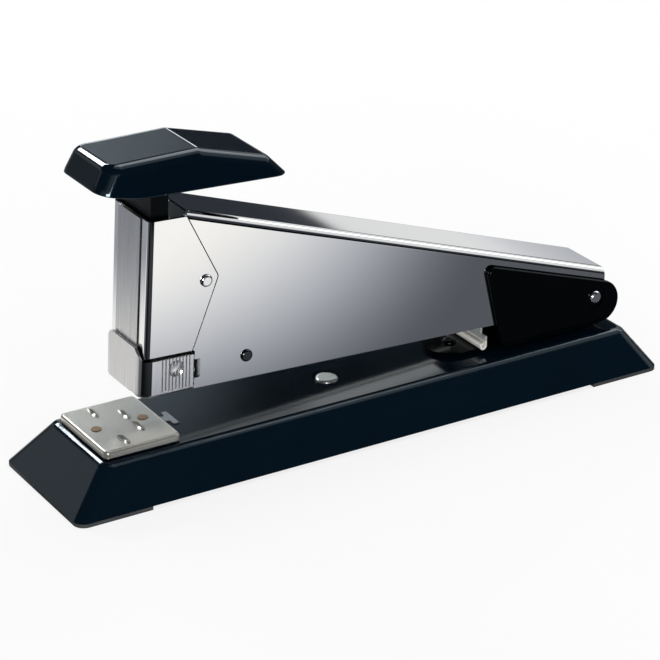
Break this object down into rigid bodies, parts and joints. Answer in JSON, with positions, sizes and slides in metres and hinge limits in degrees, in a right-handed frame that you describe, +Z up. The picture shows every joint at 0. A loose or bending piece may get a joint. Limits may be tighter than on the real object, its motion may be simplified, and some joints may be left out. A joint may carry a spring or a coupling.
{
  "type": "desk stapler",
  "caption": "Desk stapler with a black tray base, sprung chrome arm, press-down black head, pull-out staple drawer and turnable anvil plate.",
  "frame": {"origin": "on the table, under the middle of the base's footprint", "axes": "+X along the base from the nose end to the hinge end, +Y across the base to the far side of the picture, +Z up"},
  "size_m": [0.1772, 0.042, 0.0868],
  "materials": {
    "black_enamel": "gloss enamel, blue-black",
    "rubber": "matt",
    "black_plastic": "gloss",
    "chrome": "polished",
    "nickel": "satin nickel",
    "copper": "satin copper",
    "steel": "plain bright steel",
    "staple_wire": "galvanised"
  },
  "bodies": {
    "base": {"base_shell": "black_enamel", "front_foot": "rubber", "rear_foot": "rubber", "base_stiffener": "steel", "base_rivet": "chrome", "hinge_bracket": "black_enamel", "bracket_rivets": "black_enamel", "hinge_pin": "chrome", "anvil_latch": "nickel", "anvil_washer": "steel", "anvil_spring": "steel"},
    "anvil": {"anvil_plate": "nickel", "anvil_rivets": "copper", "anvil_pivot": "steel", "anvil_clip": "steel"},
    "lift": {"lift_spring": "nickel", "hinge_bush": "steel"},
    "arm": {"arm_shell": "chrome", "nose_shell": "chrome", "inner_frame": "steel", "nose_rivets": "chrome", "frame_rivets": "chrome", "return_spring": "steel"},
    "head": {"head_cap": "black_plastic", "plunger": "black_plastic", "driver_blade": "steel", "driver_rivets": "steel", "head_pin": "steel"},
    "magazine": {"magazine_channel": "steel", "magazine_front": "chrome", "staple_rail": "steel", "staple_strip": "staple_wire", "spring_rod": "steel", "magazine_end": "steel", "pusher_spring": "steel"},
    "pusher": {"pusher": "steel"}
  },
  "joints": [
    {"name": "anvil_turn", "type": "hinge", "parent": "base", "child": "anvil", "pos_m": [-0.06625, 0, 0.012], "axis": [0, 0, 1], "range_deg": [0, 180]},
    {"name": "arm_open", "type": "hinge", "parent": "base", "child": "lift", "pos_m": [0.0732, 0, 0.0213], "axis": [0, 1, 0], "range_deg": [0, 90]},
    {"name": "arm_press", "type": "hinge", "parent": "lift", "child": "arm", "pos_m": [0.0732, 0, 0.0213], "axis": [0, -1, 0], "range_deg": [0, 3.9], "stiffness_Nm_per_rad": 6, "springref_deg": -6.88},
    {"name": "head_press", "type": "slide", "parent": "arm", "child": "head", "axis": [-0.0436, 0, -0.999], "range_m": [0, 0.007], "stiffness_N_per_m": 500, "springref_m": -0.004, "deforming": ["return_spring"]},
    {"name": "magazine_slide", "type": "slide", "parent": "arm", "child": "magazine", "axis": [0.999, 0, -0.0436], "range_m": [-0.07, 0]},
    {"name": "pusher_slide", "type": "slide", "parent": "magazine", "child": "pusher", "axis": [0.999, 0, -0.0436], "range_m": [0, 0.028], "stiffness_N_per_m": 40, "springref_m": -0.03, "deforming": ["pusher_spring"]}
  ]
}
